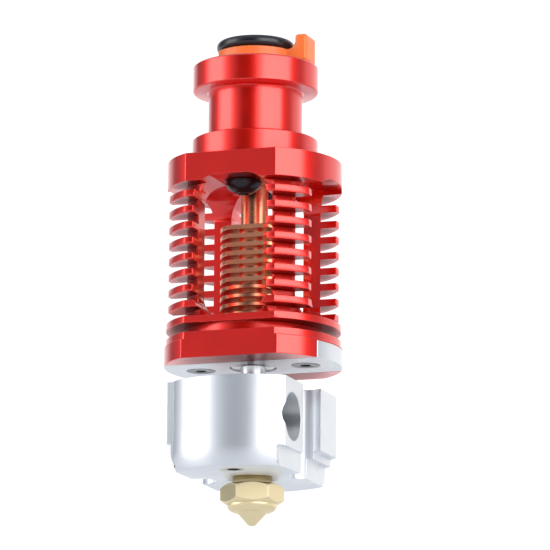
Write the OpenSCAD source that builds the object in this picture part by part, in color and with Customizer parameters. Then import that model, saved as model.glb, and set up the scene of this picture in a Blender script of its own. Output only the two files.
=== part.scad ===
// Hotend assembly for a filament printer: a groove mount with a push-fit collet,
// a finned cage round a copper core, a clamp plate, a heater block and a nozzle.
// The origin is on the filament axis, halfway along the mounting groove.
// +Z points up to the filament inlet, -Y is the front, +X is the side of the heater bore.

/* [Groove mount] */
// Diameter of the two mounting collars
collar_d = 16; // [14:0.1:20]
// Diameter of the neck between the collars
neck_d = 12; // [10.5:0.1:13]
// Height of the mounting groove
groove_len = 6.3; // [5:0.1:9]
// Thickness of the upper collar
top_collar_t = 3.4; // [2.8:0.1:5]
// Thickness of the lower collar
low_collar_t = 3.1; // [2.5:0.1:5]
// Outer diameter of the guide tube that the collet grips
guide_tube_d = 4; // [3:0.1:4.2]
// Diameter of the filament passage
filament_bore_d = 2; // [1.8:0.05:2.4]

/* [Collet] */
// Diameter of the collet's flange
collet_flange_d = 10; // [8.5:0.1:11]
// Thickness of the collet's flange
collet_flange_t = 1.5; // [1:0.1:2.5]
// Edge radius of the collet's flange
collet_edge_r = 0.6; // [0.2:0.05:0.7]
// Outer diameter of the collet's sleeve
collet_sleeve_d = 6; // [5.6:0.1:6.2]
// Length of the collet's sleeve below the collar's top face
collet_depth = 3.6; // [3:0.1:4]
// Outer diameter of the brass bush
bush_d = 8.4; // [8:0.1:9]
// Depth of the brass bush
bush_depth = 6; // [5.6:0.1:6]
// Width of a steel gripping tooth
tooth_w = 1.2; // [0.8:0.1:1.3]
// Height of a gripping tooth
tooth_h = 1.6; // [1.2:0.1:2]
// Space that the clip fills, from the collar to the collet's flange
clip_space = 1.8; // [1.4:0.1:2.4]

/* [Collet clip] */
// Width of the clip's horseshoe
clip_w = 10.4; // [9.6:0.1:12]
// Reach of the clip's arms past the axis
clip_reach = 3.8; // [3:0.1:4.5]
// Distance from the axis to the outer face of the pull tab
tab_x = 7.45; // [7:0.05:7.8]
// Thickness of the pull tab
tab_t = 1.6; // [1.2:0.1:2]
// Width of the pull tab
tab_w = 3.8; // [3:0.1:5]
// Height of the pull tab above the collar
tab_h = 3.55; // [3:0.05:5]

/* [Cage] */
// Outer diameter of the cage
cage_d = 22.2; // [21.6:0.1:26]
// Distance from the axis to the flats
flat_dist = 9.35; // [9.2:0.05:9.9]
// Thickness of the top disc
top_disc_t = 3.6; // [3:0.1:5]
// Number of fins that the windows cut
fin_count = 8; // [6:1:10]
// Thickness of a fin
fin_t = 0.9; // [0.7:0.05:1.1]
// Gap between two fins
fin_gap = 1.125; // [1:0.025:1.4]
// Diameter at the bottom of the fin gaps
fin_root_d = 17.5; // [16.6:0.1:18]
// Width of the windows
window_w = 9.8; // [9.4:0.1:10.2]
// Corner radius of the windows
window_r = 3; // [1.5:0.1:3.6]
// Height of the windows above the underside of the top disc
window_rise = 0.65; // [0.3:0.05:1]
// Thickness of the base flange's rim
rim_t = 0.9; // [0.6:0.05:1.5]
// Thickness of the base flange below its rim
base_t = 2.45; // [2.35:0.05:3.5]
// Step out from the rim to the base
base_step = 0.2; // [0:0.05:0.5]

/* [Copper core] */
// Diameter of the core's fins
core_fin_d = 8.6; // [8:0.1:8.8]
// Number of the core's fins
core_fin_count = 11; // [8:1:11]
// Number of those fins that carry the wrench flats
core_flat_fins = 7; // [4:1:8]
// Width across the wrench flats
core_flats = 7; // [6.5:0.1:7.6]
// Pitch of the core's fins
core_pitch = 1.125; // [1:0.005:1.13]
// Thickness of a core fin
core_fin_t = 0.55; // [0.4:0.05:0.7]
// Diameter of the core between its fins
core_stem_d = 5.4; // [5:0.1:6]
// Diameter of the thin tube above the fins
core_tube_d = 3.5; // [3.2:0.1:3.9]
// Distance from the window's top to the first core fin
core_drop = 5.4; // [5:0.1:5.6]
// Thickness of the core's foot above the clamp plate
core_foot_t = 3.1; // [2.4:0.1:3.1]

/* [Clamp plate] */
// Thickness of the clamp plate
plate_t = 2.2; // [1.8:0.05:2.3]
// Diameter of the plate's centre hole
plate_hole_d = 5.9; // [5.4:0.1:6.4]
// Distance from the axis to each plate screw
screw_x = 7; // [6.8:0.05:7.1]

/* [Heatbreak] */
// Diameter of the heatbreak's thin tube
break_d = 3.2; // [2.9:0.1:3.6]
// Gap between the clamp plate and the heater block
break_gap = 2.75; // [2:0.05:4]
// Thread length of the heatbreak in the copper core
break_top_len = 6; // [4:0.1:7]
// Thread length of the heatbreak in the heater block
break_low_len = 3.9; // [3:0.1:4.2]

/* [Heater block] */
// Diameter of the heater block
block_d = 23; // [21.4:0.1:24]
// Height of the heater block
block_h = 11.4; // [11.2:0.05:13]
// Distance from the axis to the block's side flats
side_flat = 7.45; // [7.4:0.05:7.6]
// Distance from the axis to the flat of the two ears
ear_flat = 8.55; // [8.4:0.05:8.7]
// Distance from the axis to the face of the front ear
ear_front = 8.2; // [8:0.05:8.4]
// Height of the block above the step under the ears
ear_h = 7.95; // [7.6:0.05:8.2]
// Height of the ledge below that step
ledge_h = 0.9; // [0.6:0.05:1.2]
// Step in from the left ear to the ledge below it
ledge_step = 0.5; // [0.3:0.05:0.8]
// Inset of the block's bulged rim at the underside
rim_inset = 0.8; // [0.4:0.05:1.2]
// Inset of the rounding under the left ear at the underside
ear_inset = 1.25; // [0.6:0.05:1.5]
// Distance from the axis to the narrow lower flat at the back
low_flat = 6.5; // [6.2:0.05:6.8]
// Distance from the axis to the front end of the slanted lower flat
low_front = 6.3; // [6:0.05:6.6]
// Diameter of the heater bore
heater_d = 6.1; // [6:0.05:6.15]
// Wall between the heater bore and the nozzle's thread
heater_wall = 0.255; // [0.2:0.005:0.4]
// Depth of the heater bore's axis below the block's top
heater_drop = 4.8; // [4.6:0.05:5]
// Distance from the axis to the heater bore's blind end
heater_end = 5.5; // [5:0.1:5.8]
// Diameter of the sensor bore
sensor_d = 3; // [2.8:0.05:3.1]
// Distance from the axis to the sensor bore
sensor_dist = 5.9; // [5.6:0.05:6.2]
// Distance that the sensor bore runs past the axis
sensor_end = 4; // [2:0.1:5]
// Diameter of the screwdriver channels in the sides
channel_d = 4.2; // [4:0.1:4.4]

/* [Nozzle] */
// Size of the nozzle's hexagon across its flats
hex_af = 7; // [6:0.1:8]
// Height of the nozzle's hexagon
hex_h = 2.5; // [2.2:0.1:4]
// Turn of the hexagon about the axis, in degrees
hex_turn = 19.5; // [-30:0.5:30]
// Diameter of the nozzle's neck
nozzle_neck_d = 5; // [4.6:0.1:5.2]
// Gap between the block and the hexagon
hex_gap = 0.8; // [0.5:0.05:1.5]
// Height of the sloping shoulder below the hexagon
shoulder_h = 1; // [0.6:0.05:2]
// Diameter of the shoulder at its lower end
shoulder_d = 4.3; // [4:0.1:5]
// Height of the nozzle's cone
cone_h = 1.65; // [1.2:0.05:3]
// Diameter of the cone at its top
cone_d = 3.76; // [3:0.02:4.4]
// Diameter of the flat tip
tip_d = 0.84; // [0.8:0.02:1.2]
// Diameter of the nozzle's opening
orifice_d = 0.4; // [0.2:0.1:1]

/* [Fasteners] */
// Head diameter of the screws inside the windows
cap_head_d = 4.5; // [4:0.1:4.7]
// Head height of the screws inside the windows
cap_head_h = 1.5; // [1.2:0.1:2.5]
// Distance from the axis to those screws
cap_screw_y = 4.3; // [4.2:0.05:4.5]
// Length of those screws below their head
cap_screw_len = 8; // [6:0.5:8]
// Head diameter of the countersunk plate screws
csk_head_d = 3.8; // [3.4:0.1:4]
// Head height of the countersunk plate screws
csk_head_h = 1.2; // [1:0.05:1.3]
// Length of the plate screws with their head
csk_screw_len = 5; // [4:0.5:5]
// Distance from the axis to the grub screw of the heater bore
grub_dist = 7.1; // [6.8:0.05:7.2]
// Depth of the heater grub screw's face above the block's underside
grub_sink = 0.4; // [0.3:0.05:1.4]
// Length of the sensor's grub screw
sensor_grub_len = 3; // [2.5:0.1:3.5]
// Width across the flats of the grub screws' sockets
grub_socket = 1.5; // [1.3:0.1:1.6]
// Width across the flats of the sockets in the screws inside the windows
cap_socket = 1.5; // [1.3:0.1:2]
// Width across the flats of the plate screws' sockets
csk_socket = 1.3; // [1.2:0.1:1.5]

/* [Clearances] */
// Radial gap of a thread or a close fit
thread_gap = 0.02; // [0.01:0.005:0.05]
// Radial gap of a piece that slides
slide_gap = 0.08; // [0.05:0.01:0.15]
// Radial gap of a screw in its clearance hole
screw_gap = 0.15; // [0.1:0.05:0.3]
// Gap between the copper core and the cage
core_gap = 0.05; // [0.03:0.01:0.1]
// Radial gap of the guide tube in the passage below the collet
passage_gap = 0.25; // [0.2:0.01:0.35]

/* [Hidden] */
$fn = 96;

// Number of gripping teeth, one node each
tooth_count = 4;
// Overlap of a cut past the face that it opens
cut = 0.5;
// Length by which joined shapes of one piece run into each other
bite = 0.1;
// Length of the straight opening in the nozzle's tip
land = 0.6;
// Gap between a screw's tip and what it points at
tip_gap = 0.05;
// Depth of the sockets in the plate screws
csk_socket_h = 0.8;
// Depth of the sockets in the grub screws
grub_socket_h = 0.9;
// Height of the spigot on top of the copper core
spigot_h = 1.2;
// Chamfers at the mouths of the tapped holes
nozzle_mouth = 0.6;
grub_mouth = 0.4;
// Pitch diameters, at which the threads are drawn as plain cylinders
m2_d = 1.74;
m25_d = 2.2;
m3_d = 2.68;
m4_d = 3.55;
m6_d = 5.35;

// Distance of the heatbreak's threads inside the faces that they screw into
break_shy = 0.4;

// Gap between the heatbreak's collar and the clamp plate's hole
collar_gap = 0.1;

// Distance from the axis to the heater bore
heater_dist = m6_d / 2 + thread_gap + heater_wall + heater_d / 2;

// Heights from the top of the assembly to the bottom
z_collar_top = groove_len / 2 + top_collar_t;
z_flange = z_collar_top + clip_space;
z_seat = -groove_len / 2 - low_collar_t;
z_disc = z_seat - top_disc_t;
z_ceiling = z_disc + window_rise;
fin_pitch = fin_t + fin_gap;
z_full_fin = z_disc - fin_gap - fin_count * fin_pitch;
z_rim = z_full_fin - fin_t - fin_gap;
z_ledge = z_rim - rim_t;
z_base = z_ledge - base_t;
z_plate = z_base + plate_t;
z_block = z_base - break_gap;
z_under = z_block - block_h;
z_ear = z_block - ear_h;
z_low = z_ear - ledge_h;
z_heater = z_block - heater_drop;
z_hex = z_under - hex_gap;
z_shoulder = z_hex - hex_h;
z_cone = z_shoulder - shoulder_h;
z_tip = z_cone - cone_h;
z_break_end = z_block - break_shy - break_low_len;

// A cylinder given by its radius and its lowest and highest point
module rod(r, z0, z1) {
    translate([0, 0, z0]) cylinder(r = r, h = z1 - z0);
}

// A headless screw with a hexagon socket in its lower end
module grub(d, z0, z1, socket) {
    difference() {
        rod(d / 2, z0, z1);
        translate([0, 0, z0 - cut]) cylinder(r = socket / sqrt(3), h = cut + grub_socket_h, $fn = 6);
    }
}

module groove_mount() {
    bush_floor = z_collar_top - bush_depth;
    color([0.80, 0.13, 0.11]) difference() {
        union() {
            rod(collar_d / 2, groove_len / 2, z_collar_top);
            rod(neck_d / 2, -groove_len / 2, groove_len / 2);
            rod(collar_d / 2, z_seat, -groove_len / 2);
        }
        rod(guide_tube_d / 2 + passage_gap, z_seat - cut, bush_floor + cut);
        rod(bush_d / 2 + thread_gap, bush_floor, z_collar_top + cut);
        for (side = [-1, 1])
            translate([0, side * cap_screw_y, 0])
                rod(m25_d / 2 + thread_gap, z_seat - cut, z_ceiling + cap_screw_len + tip_gap);
    }
}

module collet_bush() {
    floor_t = 0.8;
    lip_t = 0.7;
    room = 0.5;
    color([0.83, 0.68, 0.35]) difference() {
        rod(bush_d / 2, z_collar_top - bush_depth, z_collar_top);
        rod(guide_tube_d / 2 + passage_gap, z_collar_top - bush_depth - cut, z_collar_top);
        rod(collet_sleeve_d / 2 + room, z_collar_top - bush_depth + floor_t, z_collar_top - lip_t);
        rod(collet_sleeve_d / 2 + slide_gap, z_collar_top - lip_t - bite, z_collar_top + cut);
    }
}

// The collet: a slotted sleeve with a round-edged flange on top
module collet() {
    r_in = guide_tube_d / 2 + slide_gap;
    r_fl = collet_flange_d / 2;
    e = collet_edge_r;
    z_top = z_flange + collet_flange_t;
    color([0.05, 0.05, 0.06]) difference() {
        union() {
            rod(collet_sleeve_d / 2, z_collar_top - collet_depth, z_flange + bite);
            rod(r_fl - e, z_flange, z_top);
            rod(r_fl, z_flange + e, z_top - e);
            for (z = [z_flange + e, z_top - e])
                translate([0, 0, z]) rotate_extrude() translate([r_fl - e, 0]) circle(r = e);
        }
        rod(r_in, z_collar_top - collet_depth - cut, z_top + cut);
        for (i = [0 : tooth_count - 1])
            rotate([0, 0, (i + 0.5) * 360 / tooth_count])
                translate([0, -tooth_w / 2 - core_gap, z_collar_top - collet_depth - cut])
                    cube([collet_sleeve_d, tooth_w + 2 * core_gap, cut + tooth_h]);
    }
}

// A steel blade that sits in a slot of the sleeve and leans on the guide tube
module collet_tooth(i) {
    r_in = guide_tube_d / 2 + slide_gap;
    r_out = collet_sleeve_d / 2 - bite;
    color([0.72, 0.73, 0.75]) rotate([0, 0, (i + 0.5) * 360 / tooth_count])
        translate([r_in, -tooth_w / 2, z_collar_top - collet_depth])
            cube([r_out - r_in, tooth_w, tooth_h]);
}

module collet_clip() {
    z0 = z_collar_top + slide_gap;
    t = clip_space - 2 * slide_gap;
    r_in = collet_sleeve_d / 2 + slide_gap;
    color([0.98, 0.45, 0.16]) difference() {
        union() {
            intersection() {
                rod(clip_w / 2, z0, z0 + t);
                translate([-clip_reach, -clip_w, z0]) cube([2 * clip_w, 2 * clip_w, t]);
            }
            translate([0, -tab_w / 2, z0]) cube([tab_x, tab_w, t]);
            translate([tab_x - tab_t, -tab_w / 2, z0]) cube([tab_t, tab_w, tab_h]);
        }
        rod(r_in, z0 - cut, z0 + t + cut);
        translate([-clip_w, -r_in, z0 - cut]) cube([clip_w, 2 * r_in, t + 2 * cut]);
    }
}

// A slab of the cage: a disc with flats at the front and back, and at the sides as well if sides
module slab(r, z0, z1, sides) {
    x = sides ? flat_dist : r + 1;
    intersection() {
        rod(r, z0, z1);
        translate([-x, -flat_dist, z0]) cube([2 * x, 2 * flat_dist, z1 - z0]);
    }
}

// A rounded rectangle of true arcs
module round_rect(w, h, r) {
    square([w - 2 * r, h], center = true);
    square([w, h - 2 * r], center = true);
    for (x = [-1, 1], y = [-1, 1])
        translate([x * (w / 2 - r), y * (h / 2 - r)]) circle(r = r);
}

module window() {
    h = z_ceiling - z_full_fin;
    translate([0, cage_d, z_full_fin + h / 2]) rotate([90, 0, 0])
        linear_extrude(2 * cage_d) round_rect(window_w, h, window_r);
}

module cage() {
    r = cage_d / 2;
    color([0.80, 0.13, 0.11]) difference() {
        union() {
            slab(r, z_disc, z_seat, false);
            rod(fin_root_d / 2, z_rim, z_disc);
            for (k = [0 : fin_count - 1]) {
                z = z_disc - fin_gap - k * fin_pitch;
                slab(r, z - fin_t, z, true);
            }
            slab(r, z_full_fin - fin_t, z_full_fin, false);
            slab(r, z_ledge, z_rim, false);
            slab(r + base_step, z_base, z_ledge, false);
        }
        window();
        rotate([0, 0, 90]) window();
        rod(guide_tube_d / 2 + passage_gap, z_ceiling + spigot_h, z_seat + cut);
        rod(core_tube_d / 2 + core_gap, z_ceiling - cut, z_ceiling + spigot_h + cut);
        rod(core_fin_d / 2 + core_gap, z_base - cut, z_full_fin + cut);
        translate([-cage_d, -window_w / 2, z_base - cut]) cube([2 * cage_d, window_w, plate_t + cut]);
        for (side = [-1, 1]) {
            translate([0, side * cap_screw_y, 0])
                rod(m25_d / 2 + screw_gap, z_ceiling - cut, z_seat + cut);
            translate([0, side * cap_screw_y, 0])
                rod(cap_head_d / 2 + screw_gap, z_ceiling - cap_head_h, z_ceiling);
            translate([side * screw_x, 0, 0]) rod(m2_d / 2 + thread_gap, z_plate - cut, z_full_fin + cut);
        }
    }
}

module cap_screw(side) {
    socket_depth = cap_head_h / 2;
    color([0.06, 0.06, 0.07]) translate([0, side * cap_screw_y, 0]) difference() {
        union() {
            rod(cap_head_d / 2, z_ceiling - cap_head_h, z_ceiling);
            rod(m25_d / 2, z_ceiling - bite, z_ceiling + cap_screw_len);
        }
        translate([0, 0, z_ceiling - cap_head_h - cut])
            cylinder(r = cap_socket / sqrt(3), h = cut + socket_depth, $fn = 6);
    }
}

module copper_core() {
    z_first = z_ceiling - core_drop;
    z_last = z_first - (core_fin_count - 1) * core_pitch - core_fin_t;
    color([0.85, 0.55, 0.42]) difference() {
        union() {
            rod(core_tube_d / 2, z_first - core_fin_t, z_ceiling + spigot_h);
            rod(core_stem_d / 2, z_plate, z_first - core_fin_t / 2);
            for (k = [0 : core_fin_count - 1]) {
                z = z_first - k * core_pitch;
                flat = k < core_flat_fins ? core_flats / 2 : core_fin_d;
                intersection() {
                    rod(core_fin_d / 2, z - core_fin_t, z);
                    translate([-core_fin_d, -flat, z - core_fin_t])
                        cube([2 * core_fin_d, 2 * flat, core_fin_t]);
                }
            }
            rod(core_fin_d / 2, z_plate, z_plate + core_foot_t);
        }
        rod(filament_bore_d / 2, z_plate - cut, z_ceiling + spigot_h + cut);
        rod(m4_d / 2 + thread_gap, z_plate - cut, z_plate + break_top_len);
    }
}

module clamp_plate() {
    w = window_w - 2 * core_gap;
    color([0.80, 0.81, 0.83]) difference() {
        intersection() {
            rod(cage_d / 2 + base_step, z_base, z_plate);
            translate([-cage_d, -w / 2, z_base]) cube([2 * cage_d, w, plate_t]);
        }
        rod(plate_hole_d / 2, z_base - cut, z_plate + cut);
        for (side = [-1, 1]) translate([side * screw_x, 0, 0]) {
            rod(m2_d / 2 + screw_gap, z_base - cut, z_plate + cut);
            csk_cone(thread_gap);
        }
    }
}

// The cone of a countersunk head, its wide end level with the plate's lower face
module csk_cone(gap) {
    r_small = m2_d / 2 + gap;
    r_big = csk_head_d / 2 + gap;
    translate([0, 0, z_base - gap]) cylinder(r1 = r_big, r2 = r_small, h = csk_head_h + gap);
}

module plate_screw(side) {
    color([0.62, 0.63, 0.66]) translate([side * screw_x, 0, 0]) difference() {
        union() {
            csk_cone(0);
            rod(m2_d / 2, z_base + csk_head_h - bite, z_base + csk_screw_len);
        }
        translate([0, 0, z_base - cut]) cylinder(r = csk_socket / sqrt(3), h = cut + csk_socket_h, $fn = 6);
    }
}

module heatbreak() {
    color([0.80, 0.80, 0.82]) difference() {
        union() {
            rod(m4_d / 2, z_plate + break_shy, z_plate + break_top_len - tip_gap);
            rod(break_d / 2, z_break_end + break_low_len - bite, z_plate + break_shy + bite);
            rod(plate_hole_d / 2 - collar_gap, z_base + collar_gap, z_plate - collar_gap);
            rod(m6_d / 2, z_break_end, z_break_end + break_low_len);
        }
        rod(filament_bore_d / 2, z_break_end - cut, z_plate + break_top_len + cut);
    }
}

// Outline of the block at the height of its ears
module block_outline(left, right) {
    difference() {
        union() {
            intersection() {
                circle(d = block_d);
                square([2 * side_flat, block_d], center = true);
            }
            translate([-left, -ear_front]) square([left, ear_front]);
            intersection() {
                circle(d = block_d);
                square([right, block_d]);
            }
        }
        for (side = [-1, 1]) translate([side * screw_x, 0]) circle(d = channel_d);
    }
}

// The lower band: turned with a bulged rim, narrow at the right, rounded at the left front
module block_foot() {
    h = z_low - z_under;
    r = block_d / 2;
    bulge = (rim_inset * rim_inset + h * h) / (2 * rim_inset);
    left = ear_flat - ledge_step;
    left_bulge = (ear_inset * ear_inset + h * h) / (2 * ear_inset);
    difference() {
        union() {
            intersection() {
                translate([0, 0, z_low]) rotate_extrude() intersection() {
                    translate([r - bulge, 0]) circle(r = bulge);
                    translate([0, -h]) square([r, h]);
                }
                translate([0, 0, z_under]) linear_extrude(h) polygon([
                    [-side_flat, -r], [low_front, -r], [side_flat, 0],
                    [low_flat, 0], [low_flat, r], [-side_flat, r]]);
            }
            translate([0, 0, z_low]) rotate([90, 0, 0]) linear_extrude(ear_front) intersection() {
                translate([-left + left_bulge, 0]) circle(r = left_bulge);
                translate([-left, -h]) square([left, h]);
            }
        }
        for (side = [-1, 1]) translate([side * screw_x, 0, 0])
            rod(channel_d / 2, z_under - cut, z_low + cut);
    }
}

// The chamfer at the mouth of a tapped hole in the block's underside
module mouth(d, size) {
    over = 0.01;
    translate([0, 0, z_under - over])
        cylinder(r1 = d / 2 + size + over, r2 = d / 2, h = size + over);
}

module heater_block() {
    color([0.84, 0.85, 0.87]) difference() {
        union() {
            translate([0, 0, z_ear]) linear_extrude(ear_h) block_outline(ear_flat, ear_flat);
            translate([0, 0, z_low]) linear_extrude(ledge_h) block_outline(ear_flat - ledge_step, side_flat);
            block_foot();
        }
        rod(m6_d / 2 + thread_gap, z_under - cut, z_block + cut);
        mouth(m6_d, nozzle_mouth);
        translate([-heater_end, -heater_dist, z_heater]) rotate([0, 90, 0])
            cylinder(d = heater_d, h = 2 * block_d);
        translate([-block_d, sensor_dist, z_heater]) rotate([0, 90, 0])
            cylinder(d = sensor_d, h = block_d + sensor_end);
        translate([0, -grub_dist, 0]) rod(m3_d / 2 + thread_gap, z_under - cut, z_heater);
        translate([0, -grub_dist, 0]) mouth(m3_d, grub_mouth);
        translate([0, sensor_dist, 0]) rod(m3_d / 2 + thread_gap, z_under - cut, z_heater);
        translate([0, sensor_dist, 0]) mouth(m3_d, grub_mouth);
    }
}

module heater_grub_screw() {
    z_end = z_heater - heater_d / 2 - tip_gap;
    color([0.10, 0.10, 0.11]) translate([0, -grub_dist, 0])
        grub(m3_d, z_under + grub_sink, z_end, grub_socket);
}

module sensor_grub_screw() {
    z_end = z_heater - sensor_d / 2 - tip_gap;
    color([0.10, 0.10, 0.11]) translate([0, sensor_dist, 0])
        grub(m3_d, z_end - sensor_grub_len, z_end, grub_socket);
}

module nozzle() {
    r_corner = hex_af / sqrt(3);
    thread_top = z_break_end - tip_gap;
    r_shoulder = hex_af / 2 - bite;
    chamfer_h = 0.45;
    color([0.86, 0.72, 0.42]) difference() {
        union() {
            rod(m6_d / 2, z_under + nozzle_mouth, thread_top);
            rod(nozzle_neck_d / 2, z_hex - bite, z_under + nozzle_mouth + bite);
            intersection() {
                translate([0, 0, z_shoulder]) rotate([0, 0, hex_turn])
                    cylinder(r = r_corner, h = hex_h, $fn = 6);
                translate([0, 0, z_shoulder]) rotate_extrude() polygon([
                    [0, 0], [r_shoulder, 0], [r_corner, chamfer_h],
                    [r_corner, hex_h - chamfer_h], [r_shoulder, hex_h], [0, hex_h]]);
            }
            translate([0, 0, z_cone])
                cylinder(r1 = shoulder_d / 2, r2 = r_shoulder, h = shoulder_h);
            translate([0, 0, z_tip])
                cylinder(d1 = tip_d, d2 = cone_d, h = cone_h);
        }
        rod(filament_bore_d / 2, z_tip + cone_h, thread_top + cut);
        translate([0, 0, z_tip + land])
            cylinder(d1 = orifice_d, d2 = filament_bore_d, h = cone_h - land);
        rod(orifice_d / 2, z_tip - cut, z_tip + land);
    }
}

groove_mount();
collet_bush();
collet();
collet_tooth(0);  // collet_tooth_1
collet_tooth(1);  // collet_tooth_2
collet_tooth(2);  // collet_tooth_3
collet_tooth(3);  // collet_tooth_4
collet_clip();
cage();
cap_screw(-1);  // mount_screw_front
cap_screw(1);  // mount_screw_back
copper_core();
clamp_plate();
plate_screw(-1);  // plate_screw_left
plate_screw(1);  // plate_screw_right
heatbreak();
heater_block();
heater_grub_screw();
sensor_grub_screw();
nozzle();
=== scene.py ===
import math

import bpy
from mathutils import Euler, Matrix, Vector


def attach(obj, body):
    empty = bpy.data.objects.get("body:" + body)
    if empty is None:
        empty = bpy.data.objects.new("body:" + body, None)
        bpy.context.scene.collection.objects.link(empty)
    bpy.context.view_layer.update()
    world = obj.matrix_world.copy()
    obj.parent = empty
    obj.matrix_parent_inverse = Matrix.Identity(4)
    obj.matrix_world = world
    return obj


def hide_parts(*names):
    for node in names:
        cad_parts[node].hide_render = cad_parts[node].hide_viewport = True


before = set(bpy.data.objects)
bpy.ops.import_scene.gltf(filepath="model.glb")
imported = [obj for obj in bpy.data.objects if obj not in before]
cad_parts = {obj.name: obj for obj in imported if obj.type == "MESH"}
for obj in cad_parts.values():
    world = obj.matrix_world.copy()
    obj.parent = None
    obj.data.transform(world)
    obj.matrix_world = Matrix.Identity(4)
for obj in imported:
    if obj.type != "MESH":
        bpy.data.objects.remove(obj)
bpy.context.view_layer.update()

mm = 0.001

# ---------------------------------------------------------------------------
# Studio: a white cove with a large soft box at each side of the lens. The dark
# gap between the two boxes draws the long dark stripes down the round metal.
# ---------------------------------------------------------------------------
lens_azimuth = math.radians(19.265)
lens_elevation = math.radians(-11.659)
lens_roll = math.radians(0.446)
lens_distance = 637.36 * mm
aim_height = -20.46 * mm
aim_right = 2.659 * mm

level = Euler((math.pi / 2 - lens_elevation, 0, lens_azimuth)).to_matrix()
turn = level @ Matrix.Rotation(lens_roll, 3, "Z")
spot = Vector((0, 0, aim_height)) + level @ Vector((aim_right, 0, lens_distance))
bpy.ops.object.camera_add(location=spot, rotation=turn.to_euler())
camera = bpy.context.object
camera.name = "camera"
camera.data.sensor_width = 36
camera.data.lens = 328.85
camera.data.clip_start = 0.01
camera.data.clip_end = 20
bpy.context.scene.camera = camera
bpy.context.scene.view_settings.view_transform = "Standard"

floor_height = -0.7
bpy.ops.mesh.primitive_plane_add(size=6, location=(0, 0, floor_height))
floor = bpy.context.object
floor.name = "floor"
floor_paint = bpy.data.materials.new("floor_paint")
floor_paint.use_nodes = True
floor_shader = floor_paint.node_tree.nodes["Principled BSDF"]
floor_shader.inputs["Base Color"].default_value = (0.85, 0.85, 0.86, 1)
floor_shader.inputs["Roughness"].default_value = 0.9
floor.data.materials.append(floor_paint)

studio = bpy.data.worlds.new("studio")
bpy.context.scene.world = studio
studio.use_nodes = True
nodes = studio.node_tree.nodes
links = studio.node_tree.links
nodes.clear()
where = nodes.new("ShaderNodeTexCoord")
axes = nodes.new("ShaderNodeSeparateXYZ")
links.new(where.outputs["Generated"], axes.inputs[0])
front = nodes.new("ShaderNodeMath")
front.operation = "MULTIPLY"
front.inputs[1].default_value = -1
links.new(axes.outputs["Y"], front.inputs[0])
bearing = nodes.new("ShaderNodeMath")
bearing.operation = "ARCTAN2"
links.new(axes.outputs["X"], bearing.inputs[0])
links.new(front.outputs[0], bearing.inputs[1])
compass = nodes.new("ShaderNodeMapRange")
compass.inputs["From Min"].default_value = -math.pi
compass.inputs["From Max"].default_value = math.pi
links.new(bearing.outputs[0], compass.inputs["Value"])

# brightness of the room at each bearing in degrees: 0 is the front, 90 the right
room = [(-180, 1.15), (-145, 1.15), (-125, 0.8), (-112, 0.15), (-88, 0.3), (-70, 3.0), (-47, 3.4),
        (-34, 0.7), (-22, 0.36), (-12, 0.07), (8, 0.03), (18, 0.3), (38, 3.9), (80, 3.6), (92, 0.3),
        (112, 0.35), (128, 0.95), (172, 1.05), (180, 1.15)]
brightest = 4
walls = nodes.new("ShaderNodeValToRGB")
links.new(compass.outputs[0], walls.inputs["Fac"])
while len(walls.color_ramp.elements) < len(room):
    walls.color_ramp.elements.new(0.5)
for stop, (degrees, glow) in zip(walls.color_ramp.elements, room):
    cool = max(0, 1 - glow)
    stop.position = (degrees + 180) / 360
    stop.color = (glow * (1 - 0.25 * cool) / brightest, glow * (1 - 0.05 * cool) / brightest,
                  glow * (1 + 0.15 * cool) / brightest, 1)

# the boxes and the gap fade out towards the table and towards the ceiling
height = nodes.new("ShaderNodeMapRange")
height.inputs["From Min"].default_value = -1
links.new(axes.outputs["Z"], height.inputs["Value"])
fade = nodes.new("ShaderNodeValToRGB")
links.new(height.outputs[0], fade.inputs["Fac"])
heights = [(-0.12, 0), (0.06, 1), (0.45, 1), (0.7, 0)]
while len(fade.color_ramp.elements) < len(heights):
    fade.color_ramp.elements.new(0.5)
for stop, (sine, share) in zip(fade.color_ramp.elements, heights):
    stop.position = (sine + 1) / 2
    stop.color = (share, share, share, 1)
blend = nodes.new("ShaderNodeMix")
blend.data_type = "RGBA"
beyond = nodes.new("ShaderNodeValToRGB")
beyond.color_ramp.elements[0].position = 0.5
beyond.color_ramp.elements[0].color = (0.262, 0.265, 0.268, 1)
beyond.color_ramp.elements[1].position = 0.6
beyond.color_ramp.elements[1].color = (0.14, 0.155, 0.175, 1)
links.new(height.outputs[0], beyond.inputs["Fac"])
links.new(beyond.outputs[0], blend.inputs[6])
links.new(fade.outputs[0], blend.inputs["Factor"])
links.new(walls.outputs[0], blend.inputs[7])
sky = nodes.new("ShaderNodeBackground")
sky.inputs["Strength"].default_value = brightest
links.new(blend.outputs[2], sky.inputs["Color"])
room_output = nodes.new("ShaderNodeOutputWorld")
links.new(sky.outputs[0], room_output.inputs[0])

# ---------------------------------------------------------------------------
# Groove mount: two 16 mm collars on a 12 mm neck, turned from aluminium bar,
# bored for the bush and the guide tube, then anodised red with a satin gloss.
# ---------------------------------------------------------------------------


def new_group(name, numbers, results):
    """An empty shader group with a Vector input, the given numbers, and its results."""
    tree = bpy.data.node_groups.new(name, "ShaderNodeTree")
    tree.interface.new_socket("Vector", in_out="INPUT", socket_type="NodeSocketVector")
    for title, value in numbers:
        socket = tree.interface.new_socket(title, in_out="INPUT", socket_type="NodeSocketFloat")
        socket.default_value = value
    for title in results:
        tree.interface.new_socket(title, in_out="OUTPUT", socket_type="NodeSocketFloat")
    return tree, tree.nodes.new("NodeGroupInput"), tree.nodes.new("NodeGroupOutput")


def sum_node(tree, operation, first, second):
    """A Math node; each side is a socket or a plain number."""
    node = tree.nodes.new("ShaderNodeMath")
    node.operation = operation
    for slot, value in zip(node.inputs, (first, second)):
        if isinstance(value, (int, float)):
            slot.default_value = value
        else:
            tree.links.new(value, slot)
    return node.outputs[0]


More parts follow.
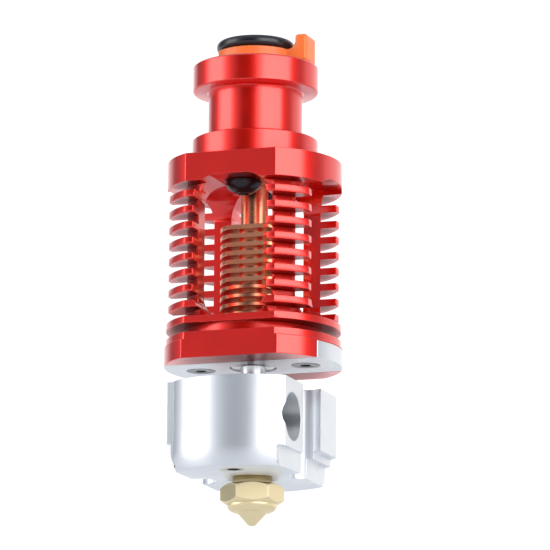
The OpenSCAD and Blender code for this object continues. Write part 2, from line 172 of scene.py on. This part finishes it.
# fine lines round the axis, as a lathe tool leaves them on faces and on diameters alike
lathe_lines, given, result = new_group("lathe_lines", [("Pitch", 0.08 * mm)], ["Lines"])
split = lathe_lines.nodes.new("ShaderNodeSeparateXYZ")
lathe_lines.links.new(given.outputs["Vector"], split.inputs[0])
flat_part = lathe_lines.nodes.new("ShaderNodeVectorMath")
flat_part.operation = "MULTIPLY"
flat_part.inputs[1].default_value = (1, 1, 0)
lathe_lines.links.new(given.outputs["Vector"], flat_part.inputs[0])
radius = lathe_lines.nodes.new("ShaderNodeVectorMath")
radius.operation = "LENGTH"
lathe_lines.links.new(flat_part.outputs[0], radius.inputs[0])
pair = lathe_lines.nodes.new("ShaderNodeCombineXYZ")
lathe_lines.links.new(split.outputs["Z"], pair.inputs["X"])
lathe_lines.links.new(radius.outputs["Value"], pair.inputs["Y"])
lines = lathe_lines.nodes.new("ShaderNodeTexNoise")
lines.inputs["Detail"].default_value = 4
lines.inputs["Roughness"].default_value = 0.65
lathe_lines.links.new(pair.outputs[0], lines.inputs["Vector"])
lathe_lines.links.new(sum_node(lathe_lines, "DIVIDE", 1, given.outputs["Pitch"]), lines.inputs["Scale"])
lathe_lines.links.new(lines.outputs["Fac"], result.inputs["Lines"])

# fine straight lines along X, as a milling cutter or a belt leaves them on flats
cutter_lines, given, result = new_group("cutter_lines", [("Pitch", 0.08 * mm)], ["Lines"])
squeezed = cutter_lines.nodes.new("ShaderNodeVectorMath")
squeezed.operation = "MULTIPLY"
squeezed.inputs[1].default_value = (0.03, 1, 1)
cutter_lines.links.new(given.outputs["Vector"], squeezed.inputs[0])
lines = cutter_lines.nodes.new("ShaderNodeTexNoise")
lines.inputs["Detail"].default_value = 4
lines.inputs["Roughness"].default_value = 0.65
cutter_lines.links.new(squeezed.outputs[0], lines.inputs["Vector"])
cutter_lines.links.new(sum_node(cutter_lines, "DIVIDE", 1, given.outputs["Pitch"]), lines.inputs["Scale"])
cutter_lines.links.new(lines.outputs["Fac"], result.inputs["Lines"])

# slow clouds over the surface, and specks a tenth of a millimetre across
handling, given, result = new_group("handling", [("Cloud Size", 3 * mm), ("Speck Size", 0.12 * mm)],
                                    ["Cloud", "Speck"])
for title, size, depth in (("Cloud", "Cloud Size", 3), ("Speck", "Speck Size", 2)):
    noise = handling.nodes.new("ShaderNodeTexNoise")
    noise.inputs["Detail"].default_value = depth
    handling.links.new(given.outputs["Vector"], noise.inputs["Vector"])
    handling.links.new(sum_node(handling, "DIVIDE", 1, given.outputs[size]), noise.inputs["Scale"])
    handling.links.new(noise.outputs["Fac"], result.inputs[title])

# where the surface turns over an edge, broken up so that the rub is uneven
edge_rub, given, result = new_group("edge_rub", [("Width", 0.12 * mm)], ["Rub"])
rounded = edge_rub.nodes.new("ShaderNodeBevel")
rounded.samples = 4
edge_rub.links.new(given.outputs["Width"], rounded.inputs["Radius"])
facing = edge_rub.nodes.new("ShaderNodeNewGeometry")
agree = edge_rub.nodes.new("ShaderNodeVectorMath")
agree.operation = "DOT_PRODUCT"
edge_rub.links.new(rounded.outputs[0], agree.inputs[0])
edge_rub.links.new(facing.outputs["Normal"], agree.inputs[1])
lift = edge_rub.nodes.new("ShaderNodeMapRange")
lift.inputs["From Min"].default_value = 0.995
lift.inputs["From Max"].default_value = 0.8
edge_rub.links.new(agree.outputs["Value"], lift.inputs["Value"])
patches = edge_rub.nodes.new("ShaderNodeTexNoise")
patches.inputs["Scale"].default_value = 1 / (0.5 * mm)
edge_rub.links.new(given.outputs["Vector"], patches.inputs["Vector"])
uneven_rub = sum_node(edge_rub, "MULTIPLY", lift.outputs[0], patches.outputs["Fac"])
edge_rub.links.new(uneven_rub, result.inputs["Rub"])

# painted shade: how deeply a spot lies in a recess, by ambient occlusion, where little light comes in
painted_recess_shade, given, result = new_group("painted_recess_shade", [("Reach", 7 * mm)], ["Shade"])
shelter = painted_recess_shade.nodes.new("ShaderNodeAmbientOcclusion")
shelter.samples = 8
painted_recess_shade.links.new(given.outputs["Reach"], shelter.inputs["Distance"])
closed = painted_recess_shade.nodes.new("ShaderNodeMapRange")
closed.inputs["From Min"].default_value = 0.66
closed.inputs["From Max"].default_value = 0.25
painted_recess_shade.links.new(shelter.outputs["AO"], closed.inputs["Value"])
painted_recess_shade.links.new(closed.outputs[0], result.inputs["Shade"])


def metal_finish(name, colour, deep, rub_colour, roughness, lines, pitch, line_depth,
                 metallic=1.0, rub=0.5, cloud=0.5, line_rough=0.1, speck_depth=0.0, coat=0.0,
                 coat_roughness=0.1, coat_ior=1.5, across=0.0, shade=0.0):
    """A worked surface: colour with clouds of a deeper tone, rubbed edges, cutting lines, and painted shade
    in recesses.
    """
    material = bpy.data.materials.new(name)
    material.use_nodes = True
    tree = material.node_tree
    shader = tree.nodes["Principled BSDF"]
    shader.inputs["Metallic"].default_value = metallic
    shader.inputs["Coat Weight"].default_value = coat
    shader.inputs["Coat Roughness"].default_value = coat_roughness
    shader.inputs["Coat IOR"].default_value = coat_ior
    shader.inputs["Anisotropic"].default_value = across
    shader.inputs["Anisotropic Rotation"].default_value = 0.25
    place = tree.nodes.new("ShaderNodeTexCoord")
    parts = {}
    for group_tree in (lines, handling, edge_rub, painted_recess_shade):
        node = tree.nodes.new("ShaderNodeGroup")
        node.node_tree = group_tree
        tree.links.new(place.outputs["Object"], node.inputs["Vector"])
        parts[group_tree.name] = node
    parts[lines.name].inputs["Pitch"].default_value = pitch * mm
    cut = parts[lines.name].outputs["Lines"]
    clouds = parts["handling"].outputs["Cloud"]
    specks = parts["handling"].outputs["Speck"]

    tone = tree.nodes.new("ShaderNodeMix")
    tone.data_type = "RGBA"
    tone.inputs[6].default_value = (*colour, 1)
    tone.inputs[7].default_value = (*deep, 1)
    tree.links.new(sum_node(tree, "MULTIPLY", clouds, cloud), tone.inputs["Factor"])
    worn = tree.nodes.new("ShaderNodeMix")
    worn.data_type = "RGBA"
    worn.inputs[7].default_value = (*rub_colour, 1)
    tree.links.new(tone.outputs[2], worn.inputs[6])
    tree.links.new(sum_node(tree, "MULTIPLY", parts["edge_rub"].outputs["Rub"], rub), worn.inputs["Factor"])
    # painted shade: in recesses the colour is mixed towards a third of the deep tone, as far as the shade
    # strength asks
    painted_shade_mix = tree.nodes.new("ShaderNodeMix")
    painted_shade_mix.data_type = "RGBA"
    painted_shade_mix.inputs[7].default_value = (*[c * 0.3 for c in deep], 1)
    tree.links.new(worn.outputs[2], painted_shade_mix.inputs[6])
    painted_shade_amount = sum_node(tree, "MULTIPLY", parts["painted_recess_shade"].outputs["Shade"], shade)
    tree.links.new(painted_shade_amount, painted_shade_mix.inputs["Factor"])
    # painted shade also thins the coat's gloss in recesses
    if coat > 0:
        tree.links.new(sum_node(tree, "MULTIPLY", sum_node(tree, "SUBTRACT", 1, painted_shade_amount), coat),
                       shader.inputs["Coat Weight"])
    tree.links.new(painted_shade_mix.outputs[2], shader.inputs["Base Color"])

    uneven = sum_node(tree, "MULTIPLY", sum_node(tree, "SUBTRACT", cut, 0.5), line_rough)
    hazy = sum_node(tree, "MULTIPLY", sum_node(tree, "SUBTRACT", clouds, 0.5), 0.12)
    level_rough = sum_node(tree, "ADD", sum_node(tree, "ADD", uneven, hazy), roughness)
    tree.links.new(level_rough, shader.inputs["Roughness"])

    relief = tree.nodes.new("ShaderNodeBump")
    relief.inputs["Distance"].default_value = 1.0
    ridges = sum_node(tree, "MULTIPLY", cut, line_depth * mm)
    pits = sum_node(tree, "MULTIPLY", specks, speck_depth * mm)
    tree.links.new(sum_node(tree, "ADD", ridges, pits), relief.inputs["Height"])
    tree.links.new(relief.outputs[0], shader.inputs["Normal"])
    return material


def turned(name, outline, solid=False, steps=128):
    """A turned piece: a ring drawn out along an outline of (radius, height) in mm."""
    bpy.ops.object.select_all(action="DESELECT")
    r_now, z_now = outline[0]
    bpy.ops.mesh.primitive_circle_add(vertices=steps, radius=r_now * mm)
    piece = bpy.context.object
    piece.name = piece.data.name = name
    bpy.ops.object.mode_set(mode="EDIT")
    bpy.ops.transform.translate(value=(0, 0, z_now * mm))
    for r, z in outline[1:] + ([] if solid else outline[:1]):
        bpy.ops.mesh.extrude_region_move(TRANSFORM_OT_translate={"value": (0, 0, (z - z_now) * mm)})
        bpy.ops.transform.resize(value=(r / r_now, r / r_now, 1), center_override=(0, 0, 0))
        r_now, z_now = r, z
    bpy.ops.mesh.select_all(action="SELECT")
    bpy.ops.mesh.remove_doubles(threshold=0.0001 * mm)
    if solid:
        bpy.ops.mesh.fill_holes(sides=0)
    bpy.ops.mesh.select_all(action="SELECT")
    bpy.ops.mesh.normals_make_consistent(inside=False)
    bpy.ops.object.mode_set(mode="OBJECT")
    return piece


def cut_away(piece, cutter, operation="DIFFERENCE"):
    """Cuts one shape out of a piece, or joins it on, and takes the cutter away."""
    bpy.ops.object.select_all(action="DESELECT")
    bpy.context.view_layer.objects.active = piece
    piece.select_set(True)
    step = piece.modifiers.new("cut", "BOOLEAN")
    step.operation = operation
    step.solver = "EXACT"
    step.object = cutter
    bpy.ops.object.modifier_apply(modifier=step.name)
    bpy.data.objects.remove(cutter)


def rod(radius, low, high, y=0.0, corners=48):
    """A plain rod to cut with, upright at y; its height runs from low to high, in mm."""
    bpy.ops.object.select_all(action="DESELECT")
    bpy.ops.mesh.primitive_cylinder_add(vertices=corners, radius=radius * mm, depth=(high - low) * mm,
                                        location=(0, y * mm, (low + high) / 2 * mm))
    bpy.ops.object.transform_apply()
    return bpy.context.object


def bar(low, high):
    """A plain bar to cut with, between two corners in mm."""
    bpy.ops.object.select_all(action="DESELECT")
    bpy.ops.mesh.primitive_cube_add(size=1, location=[(a + b) / 2 * mm for a, b in zip(low, high)],
                                    scale=[(b - a) * mm for a, b in zip(low, high)])
    bpy.ops.object.transform_apply()
    return bpy.context.object


def break_edges(piece, width, segments=2, angle=30, overlap=True):
    """Rounds every sharp edge by width, in mm, and keeps the flats flat in shading."""
    bpy.ops.object.select_all(action="DESELECT")
    bpy.context.view_layer.objects.active = piece
    piece.select_set(True)
    if width > 0:
        edge = piece.modifiers.new("edge", "BEVEL")
        edge.width = width * mm
        edge.segments = segments
        edge.limit_method = "ANGLE"
        edge.angle_limit = math.radians(angle)
        edge.use_clamp_overlap = overlap
        bpy.ops.object.modifier_apply(modifier=edge.name)
    bpy.ops.object.shade_smooth_by_angle(angle=math.radians(35))
    even = piece.modifiers.new("even", "WEIGHTED_NORMAL")
    even.keep_sharp = True
    even.weight = 80
    bpy.ops.object.modifier_apply(modifier=even.name)


def dress(piece, material):
    """Gives a piece one material."""
    piece.data.materials.clear()
    piece.data.materials.append(material)


red_colour = (0.95, 0.014, 0.005)
red_deep = (0.84, 0.009, 0.003)
red_rub = (0.9, 0.12, 0.09)
# shade=0.9 paints shade into the recesses of the cage and the mount: window insides, fin gaps, base groove
red_turned = metal_finish("red_turned", red_colour, red_deep, red_rub, 0.37, lathe_lines, 0.06, 0.0006,
                          cloud=0.6, line_rough=0.16, speck_depth=0.0004,
                          coat=1.0, coat_roughness=0.12, coat_ior=1.65, shade=0.9)

collar_top, collar_low = 6.55, 3.15
neck_low, seat = -3.15, -6.25
passage, bush_hole, bush_floor = 2.25, 4.22, 0.55
mount_screw_out = 4.3

groove_mount = turned("mount_body", [
    (passage, seat), (7.82, seat), (8, seat + 0.18), (8, neck_low - 0.15), (7.85, neck_low), (6.12, neck_low),
    (6, neck_low + 0.12), (6, collar_low - 0.2), (6.2, collar_low), (7.85, collar_low),
    (8, collar_low + 0.15), (8, collar_top - 0.2), (7.8, collar_top), (bush_hole + 0.15, collar_top),
    (bush_hole, collar_top - 0.15), (bush_hole, bush_floor), (passage, bush_floor)], steps=160)
for side in (-1, 1):
    cut_away(groove_mount, rod(1.12, seat - 1, -1.15, y=mount_screw_out * side))
break_edges(groove_mount, 0.05, angle=25)
dress(groove_mount, red_turned)
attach(groove_mount, "frame")
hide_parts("groove_mount")

# ---------------------------------------------------------------------------
# Brass bush: a turned ring pressed into the mount. It guides the collet, and a
# lip at its top keeps the collet from coming out.
# ---------------------------------------------------------------------------
brass_turned = metal_finish("brass_turned", (0.95, 0.80, 0.50), (0.88, 0.70, 0.38), (1.0, 0.92, 0.7), 0.33,
                            lathe_lines, 0.07, 0.0008, rub=0.6, cloud=0.5, line_rough=0.14)
bush = turned("bush", [(passage, bush_floor), (4.2, bush_floor), (4.2, collar_top), (3.25, collar_top),
                       (3.08, collar_top - 0.15), (3.08, collar_top - 0.7), (3.5, collar_top - 0.7),
                       (3.5, bush_floor + 0.8), (passage, bush_floor + 0.8)])
break_edges(bush, 0.05)
dress(bush, brass_turned)
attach(bush, "frame")
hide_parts("collet_bush")

# ---------------------------------------------------------------------------
# Collet: a glossy black moulding, a slotted sleeve under a round-edged flange.
# Four stainless blades in the slots bite the guide tube.
# ---------------------------------------------------------------------------


def plastic_finish(name, colour, deep, rub_colour, roughness, speck_depth, see_into=0.0):
    """A moulded plastic: slow clouds of colour, a faint skin, and paler rubbed edges."""
    material = metal_finish(name, colour, deep, rub_colour, roughness, lathe_lines, 0.4, 0.0,
                            metallic=0.0, rub=0.35, cloud=0.6, line_rough=0.04, speck_depth=speck_depth)
    shader = material.node_tree.nodes["Principled BSDF"]
    shader.inputs["Subsurface Weight"].default_value = see_into
    shader.inputs["Subsurface Radius"].default_value = (1, 0.35, 0.1)
    shader.inputs["Subsurface Scale"].default_value = 0.8 * mm
    return material


black_gloss = plastic_finish("black_gloss", (0.010, 0.011, 0.015), (0.02, 0.021, 0.026), (0.08, 0.08, 0.09),
                             0.2, 0.0006)
tube_hole, sleeve, flange = 2.08, 3.0, 5.0
sleeve_low, flange_low, flange_top = 2.95, 8.35, 9.85
roll = 0.68
outline = [(tube_hole, sleeve_low), (sleeve - 0.2, sleeve_low), (sleeve, sleeve_low + 0.2),
           (sleeve, flange_low - 0.1), (sleeve + 0.1, flange_low)]
for start, middle in ((-90, flange_low + roll), (0, flange_top - roll)):
    for step in range(10):
        angle = math.radians(start + step * 10)
        outline.append((flange - roll + roll * math.cos(angle), middle + roll * math.sin(angle)))
outline += [(tube_hole + 0.7, flange_top), (tube_hole + 0.35, flange_top - 0.12),
            (tube_hole, flange_top - 0.6)]
collet = turned("collet_body", outline)
tooth_width, tooth_height = 1.2, 1.6
for quarter in range(4):
    slit = bar((1.5, -tooth_width / 2 - 0.05, sleeve_low - 0.5),
               (3.5, tooth_width / 2 + 0.05, sleeve_low + tooth_height))
    slit.data.transform(Matrix.Rotation(math.radians(45 + 90 * quarter), 4, "Z"))
    cut_away(collet, slit)
break_edges(collet, 0.03, angle=40)
dress(collet, black_gloss)
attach(collet, "collet")
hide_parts("collet")

steel_bright = metal_finish("steel_bright", (0.66, 0.66, 0.68), (0.5, 0.5, 0.52), (0.85, 0.85, 0.86), 0.24,
                            lathe_lines, 0.06, 0.0005, rub=0.6, cloud=0.6, line_rough=0.14)
for quarter in range(4):
    tooth = bar((tube_hole, -tooth_width / 2, sleeve_low),
                (sleeve - 0.1, tooth_width / 2, sleeve_low + tooth_height))
    tooth.name = tooth.data.name = "tooth_%d" % (quarter + 1)
    notch = bar((tube_hole + 0.35, -1, sleeve_low - 1), (sleeve, 1, sleeve_low + 0.3))
    cut_away(tooth, notch)
    tooth.data.transform(Matrix.Rotation(math.radians(45 + 90 * quarter), 4, "Z"))
    break_edges(tooth, 0.04)
    dress(tooth, steel_bright)
    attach(tooth, "collet")
    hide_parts("collet_tooth_%d" % (quarter + 1))

# ---------------------------------------------------------------------------
# Collet clip: an orange horseshoe moulding that holds the collet up, with a
# tab to pull it out by. The plastic lets a little light in, so it glows.
# ---------------------------------------------------------------------------


def carried(node, name):
    """A copy of a CAD node with its triangles merged into whole faces."""
    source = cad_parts[node]
    piece = bpy.data.objects.new(name, source.data.copy())
    piece.data.name = name
    bpy.context.scene.collection.objects.link(piece)
    bpy.ops.object.select_all(action="DESELECT")
    bpy.context.view_layer.objects.active = piece
    piece.select_set(True)
    bpy.ops.object.mode_set(mode="EDIT")
    bpy.ops.mesh.select_all(action="SELECT")
    bpy.ops.mesh.remove_doubles(threshold=0.0005 * mm)
    bpy.ops.mesh.dissolve_limited(angle_limit=math.radians(0.6))
    bpy.ops.object.mode_set(mode="OBJECT")
    return piece


orange_clear = plastic_finish("orange_clear", (1.0, 0.22, 0.045), (0.97, 0.18, 0.03), (1.0, 0.5, 0.28),
                              0.36, 0.0010, see_into=0.35)
clip_low, clip_high, tab_high = 6.63, 8.27, 10.18
clip_mouth, clip_round, clip_back = 3.08, 5.2, 3.8
tab_inner, tab_outer, tab_side = 5.85, 7.45, 1.9
tab_roll, foot_roll = 0.42, 0.8
soft = 0.12
clip = turned("clip", [
    (clip_mouth, clip_low + soft), (clip_mouth + soft, clip_low), (clip_round - soft, clip_low),
    (clip_round, clip_low + soft), (clip_round, clip_high - soft), (clip_round - soft, clip_high),
    (clip_mouth + soft, clip_high), (clip_mouth, clip_high - soft)])
cut_away(clip, bar((-9, -9, clip_low - 1), (-clip_back, 9, clip_high + 1)))
cut_away(clip, bar((-9, -clip_mouth, clip_low - 1), (0, clip_mouth, clip_high + 1)))
neck = bar((clip_mouth + 0.5, -tab_side, clip_low), (tab_outer - 2 * tab_roll, tab_side, clip_high))
break_edges(neck, soft)
cut_away(clip, neck, "UNION")
foot = bar((tab_inner - foot_roll, soft - tab_side, clip_high - 0.3),
           (tab_inner + 0.5, tab_side - soft, clip_high + foot_roll))
hollow = rod(foot_roll, -3, 3)
hollow.data.transform(Matrix.Translation(((tab_inner - foot_roll) * mm, 0, (clip_high + foot_roll) * mm))
                      @ Matrix.Rotation(math.pi / 2, 4, "X"))
cut_away(foot, hollow)
cut_away(clip, foot, "UNION")
tab = bar((tab_inner, -tab_side, clip_low), (tab_outer, tab_side, tab_high))
break_edges(tab, tab_roll, segments=4)
cut_away(clip, tab, "UNION")
break_edges(clip, 0)
dress(clip, orange_clear)
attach(clip, "clip")
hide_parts("collet_clip")

# ---------------------------------------------------------------------------
# Cage: turned and milled from one aluminium bar. Four posts carry cut fins
# between a top disc and a slotted base, and the same red anodising covers it.
# ---------------------------------------------------------------------------
cage = carried("cage", "cage_body")
break_edges(cage, 0.07, segments=2, overlap=False)
dress(cage, red_turned)
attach(cage, "frame")
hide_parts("cage")

# ---------------------------------------------------------------------------
# Mount screws: two black button screws inside the windows pull the cage up
# against the mount. Their dome faces down, with a hexagon socket for the key.
# ---------------------------------------------------------------------------
black_oxide = metal_finish("black_oxide", (0.018, 0.018, 0.022), (0.03, 0.03, 0.034), (0.25, 0.25, 0.26),
                           0.24, lathe_lines, 0.08, 0.0005, metallic=0.55, rub=0.5, cloud=0.6,
                           line_rough=0.12)


def thread(root, crest, low, high, pitch):
    """A helical ridge from low to high, in mm, to join onto a turned shank."""
    turns = max(1, int((high - low) / pitch - 1))
    depth = crest - root + 0.06
    bpy.ops.object.select_all(action="DESELECT")
    bpy.ops.mesh.primitive_circle_add(vertices=3, radius=1, rotation=(math.pi / 2, math.pi / 2, 0))
    ridge = bpy.context.object
    bpy.ops.object.transform_apply()
    bpy.ops.object.mode_set(mode="EDIT")
    bpy.ops.transform.resize(value=(depth / 1.5 * mm, 1, pitch * 0.86 / math.sqrt(3) * mm),
                             center_override=(0, 0, 0))
    bpy.ops.transform.translate(value=((crest - depth * 2 / 3) * mm, 0, (low + pitch / 2) * mm))
    bpy.ops.object.mode_set(mode="OBJECT")
    coil = ridge.modifiers.new("coil", "SCREW")
    coil.axis = "Z"
    coil.angle = 2 * math.pi
    coil.screw_offset = pitch * mm
    coil.iterations = turns
    coil.steps = coil.render_steps = 40
    coil.use_merge_vertices = True
    coil.merge_threshold = 0.0005 * mm
    bpy.ops.object.modifier_apply(modifier=coil.name)
    bpy.ops.object.mode_set(mode="EDIT")
    bpy.ops.mesh.select_all(action="SELECT")
    bpy.ops.mesh.fill_holes(sides=0)
    bpy.ops.mesh.select_all(action="SELECT")
    bpy.ops.mesh.normals_make_consistent(inside=False)
    bpy.ops.object.mode_set(mode="OBJECT")
    return ridge


def join_on(piece, extra):
    """Makes extra a part of piece, as its own closed shell, a hair inside the shank."""
    bpy.ops.object.select_all(action="DESELECT")
    extra.select_set(True)
    piece.select_set(True)
    bpy.context.view_layer.objects.active = piece
    bpy.ops.object.join()


def move_by(piece, x, y):
    """Moves a finished piece's mesh sideways, in mm."""
    piece.data.transform(Matrix.Translation((x * mm, y * mm, 0)))


ceiling = -9.2
head, head_height, shank = 2.25, 1.8, 1.0
head_rim = 0.25
dome = [(0.001, ceiling + 8), (shank - 0.2, ceiling + 8), (shank, ceiling + 7.8), (shank, ceiling)]
dome += [(head - 0.08, ceiling), (head, ceiling - 0.08)]
for step in range(14):
    angle = math.radians(step * 5)
    dome.append((head * math.cos(angle), ceiling - head_rim - (head_height - head_rim) * math.sin(angle)))
dome += [(0.001, dome[-1][1])]
for side, name in ((-1, "front"), (1, "back")):
    screw = turned("button_screw_" + name, dome, solid=True, steps=64)
    cut_away(screw, rod(1.5 / math.sqrt(3), ceiling - 2, ceiling - 0.75, corners=6))
    break_edges(screw, 0.04)
    join_on(screw, thread(shank, 1.1, ceiling + 0.6, ceiling + 7.7, 0.45))
    move_by(screw, 0, mount_screw_out * side)
    dress(screw, black_oxide)
    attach(screw, "frame")
    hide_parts("mount_screw_" + name)

# ---------------------------------------------------------------------------
# Copper core: turned from copper rod, a thin tube on top, eleven fins round a
# stem, and a foot on the clamp plate. Seven fins carry flats for a wrench.
# ---------------------------------------------------------------------------
# shade=0.6 paints shade into the gaps between the fins
copper_turned = metal_finish("copper_turned", (1.0, 0.44, 0.26), (0.88, 0.3, 0.15), (1.0, 0.74, 0.58), 0.27,
                             lathe_lines, 0.05, 0.0008, shade=0.6, rub=0.5, cloud=0.8, line_rough=0.14)
first_fin, fin_pitch, fin_thick, fins = -14.6, 1.125, 0.55, 11
fin, stem, tube, spigot_top = 4.3, 2.7, 1.75, -8.0
plate_top = -30.35
outline = [(1.0, spigot_top), (tube - 0.1, spigot_top), (tube, spigot_top - 0.1), (tube, first_fin)]
for k in range(fins):
    top = first_fin - k * fin_pitch
    outline += [(fin - 0.08, top), (fin, top - 0.08), (fin, top - fin_thick + 0.08),
                (fin - 0.08, top - fin_thick), (stem, top - fin_thick)]
    if k < fins - 1:
        outline.append((stem, top - fin_pitch))
foot_top = plate_top + 3.1
outline += [(stem, foot_top), (fin - 0.1, foot_top), (fin, foot_top - 0.1), (fin, plate_top + 0.1),
            (fin - 0.1, plate_top), (1.795, plate_top), (1.795, plate_top + 6), (1.0, plate_top + 6)]
core = turned("core", outline, steps=96)
flat_at, beyond_fin, flat_fins = 3.5, 6, 7
flats_low = first_fin - (flat_fins - 1) * fin_pitch - fin_thick - 0.1
for side in (-1, 1):
    near, far = sorted((flat_at * side, beyond_fin * side))
    cut_away(core, bar((-beyond_fin, near, flats_low), (beyond_fin, far, first_fin + 0.1)))
break_edges(core, 0.0)
dress(core, copper_turned)
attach(core, "frame")
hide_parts("copper_core")

# ---------------------------------------------------------------------------
# Clamp plate: a milled aluminium strip that lies in the slot of the cage's base
# and clamps the core. Two countersunk screws hold it up.
# ---------------------------------------------------------------------------
aluminium = (0.87, 0.885, 0.91)
aluminium_deep = (0.78, 0.795, 0.825)
plate_milled = metal_finish("plate_milled", aluminium, aluminium_deep, (0.97, 0.97, 0.98), 0.36, cutter_lines,
                            0.09, 0.0007, rub=0.7, cloud=0.5, line_rough=0.18, speck_depth=0.0004)
plate = carried("clamp_plate", "plate")
break_edges(plate, 0.08, overlap=False)
dress(plate, plate_milled)
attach(plate, "frame")
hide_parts("clamp_plate")


def paint_hole_shade(piece, holes, shade_paint):
    """Paints shade inside upright holes at x = 0 with a second, dark material; each hole is (y, radius, low,
    high) in mm.
    """
    piece.data.materials.append(shade_paint)
    for face in piece.data.polygons:
        middle = face.center / mm
        for y, radius, low, high in holes:
            if math.hypot(middle.x, middle.y - y) < radius and low < middle.z < high:
                face.material_index = len(piece.data.materials) - 1


plate_low, plate_screw_out = -32.55, 7
steel_dark = metal_finish("steel_dark", (0.13, 0.135, 0.14), (0.08, 0.08, 0.085), (0.5, 0.5, 0.51), 0.26,
                          lathe_lines, 0.06, 0.0006, rub=0.7, cloud=0.7, line_rough=0.14)
for side, name in ((-1, "left"), (1, "right")):
    screw = turned("plate_screw_" + name + "_body", [
        (0.001, plate_low), (1.82, plate_low), (1.9, plate_low + 0.06), (0.87, plate_low + 1.2),
        (0.8, plate_low + 1.25), (0.8, plate_low + 4.8), (0.6, plate_low + 5), (0.001, plate_low + 5)],
        solid=True, steps=64)
    cut_away(screw, rod(1.3 / math.sqrt(3), plate_low - 1, plate_low + 0.8, corners=6))
    break_edges(screw, 0.04)
    join_on(screw, thread(0.8, 0.88, plate_low + 1.6, plate_low + 4.9, 0.4))
    dress(screw, steel_dark)
    # painted shade: black in the hexagon socket
    paint_hole_shade(screw, [(0, 0.78, plate_low + 0.03, plate_low + 1.1)], black_oxide)
    move_by(screw, plate_screw_out * side, 0)
    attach(screw, "frame")
    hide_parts("plate_screw_" + name)

# ---------------------------------------------------------------------------
# Heatbreak: a thin turned stainless tube with a collar in the plate's hole, an
# M4 thread in the copper core and an M6 thread in the heater block.
# ---------------------------------------------------------------------------
break_low, break_top = -39.6, -24.4
neck_top, neck_bottom = -29.95, -35.7
heatbreak = turned("heatbreak_body", [
    (1.0, break_low), (2.3, break_low), (2.5, break_low + 0.2), (2.5, neck_bottom - 0.2), (2.3, neck_bottom),
    (1.6, neck_bottom), (1.6, plate_low + 0.1), (2.75, plate_low + 0.1), (2.85, plate_low + 0.2),
    (2.85, plate_top - 0.2), (2.75, plate_top - 0.1), (1.6, plate_top - 0.1), (1.6, neck_top),
    (1.68, neck_top + 0.15), (1.68, break_top - 0.15), (1.5, break_top), (1.0, break_top)], steps=96)
break_edges(heatbreak, 0.04)
join_on(heatbreak, thread(1.68, 1.79, neck_top + 0.3, break_top, 0.7))
join_on(heatbreak, thread(2.5, 2.69, break_low + 0.2, neck_bottom, 1.0))
dress(heatbreak, steel_bright)
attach(heatbreak, "frame")
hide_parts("heatbreak")

# ---------------------------------------------------------------------------
# Heater block: a fine-turned aluminium block with milled sides, two channels
# for the screwdriver, a heater bore and a sensor bore.
# ---------------------------------------------------------------------------
block_turned = metal_finish("block_turned", aluminium, aluminium_deep, (0.97, 0.97, 0.98), 0.42, lathe_lines,
                            0.05, 0.0009, rub=0.6, cloud=0.4, line_rough=0.2, across=0.75)
block = carried("heater_block", "block")
break_edges(block, 0.09, overlap=False)
dress(block, block_turned)
block_low = -46.7
heater_grub_y, sensor_grub_y = -7.1, 5.9
# painted shade: dark steel on the walls of the nozzle bore and of the grub screw holes
paint_hole_shade(block, [(0, 2.75, block_low + 0.5, -35.8), (heater_grub_y, 1.4, block_low + 0.35, -43),
                     (sensor_grub_y, 1.4, block_low + 0.35, -41.5)], steel_dark)
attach(block, "frame")
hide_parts("heater_block")

grub_root = 1.2
for name, y, low, high in (("heater", heater_grub_y, -46.62, -43.2),
                           ("sensor", sensor_grub_y, -44.65, -41.65)):
    grub = turned(name + "_grub", [
        (0.001, low), (1.15, low), (grub_root + 0.05, low + 0.1), (grub_root, low + 0.3),
        (grub_root, high - 0.2), (grub_root - 0.25, high), (0.001, high)], solid=True, steps=64)
    cut_away(grub, rod(1.5 / math.sqrt(3), low - 1, low + 0.9, corners=6))
    break_edges(grub, 0.03)
    join_on(grub, thread(grub_root, 1.35, low + 0.1, high - 0.1, 0.5))
    dress(grub, steel_bright)
    # painted shade: black in the hexagon socket
    paint_hole_shade(grub, [(0, 0.95, low + 0.02, low + 1.2)], black_oxide)
    move_by(grub, 0, y)
    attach(grub, "frame")
    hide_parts(name + "_grub_screw")

# ---------------------------------------------------------------------------
# Nozzle: turned from hexagon brass bar, with an M6 thread into the block, a
# short neck, a chamfered hexagon, a rounded shoulder and a drilled cone.
# ---------------------------------------------------------------------------
thread_top, thread_low = -39.65, -46.1
hex_top, hex_low = -47.5, -50.0
shoulder_low, tip = -51.0, -52.65
hex_turn = math.radians(19.5 + 30)
hex_corner = 7 / math.sqrt(3)
nozzle = turned("nozzle_body", [
    (1.0, thread_top), (2.25, thread_top), (2.45, thread_top - 0.25), (2.45, thread_low),
    (2.5, thread_low - 0.1), (2.5, hex_top - 0.6), (3.16, hex_top - 0.6), (3.16, hex_low - 0.12),
    (3.12, hex_low - 0.36), (2.97, hex_low - 0.6), (2.72, hex_low - 0.8), (2.45, hex_low - 0.93),
    (2.18, shoulder_low), (1.9, shoulder_low - 0.03), (0.5, tip + 0.1), (0.4, tip + 0.03),
    (0.32, tip), (0.2, tip), (0.2, tip + 0.6), (1.0, shoulder_low)], steps=96)
hexagon = rod(hex_corner, hex_low, hex_top, corners=6)
hexagon.data.transform(Matrix.Rotation(hex_turn, 4, "Z"))
trim = turned("trim", [(0.001, hex_low - 0.01), (3.2, hex_low - 0.01), (hex_corner + 0.06, hex_low + 0.58),
                       (hex_corner + 0.06, hex_top - 0.52), (3.38, hex_top + 0.01), (0.001, hex_top + 0.01)],
              solid=True, steps=96)
cut_away(hexagon, trim, "INTERSECT")
cut_away(hexagon, rod(1.5, hex_low - 1, hex_top + 1))
cut_away(nozzle, hexagon, "UNION")
break_edges(nozzle, 0.05, overlap=False)
join_on(nozzle, thread(2.45, 2.69, thread_low, thread_top, 1.0))
dress(nozzle, brass_turned)
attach(nozzle, "nozzle")
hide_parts("nozzle")
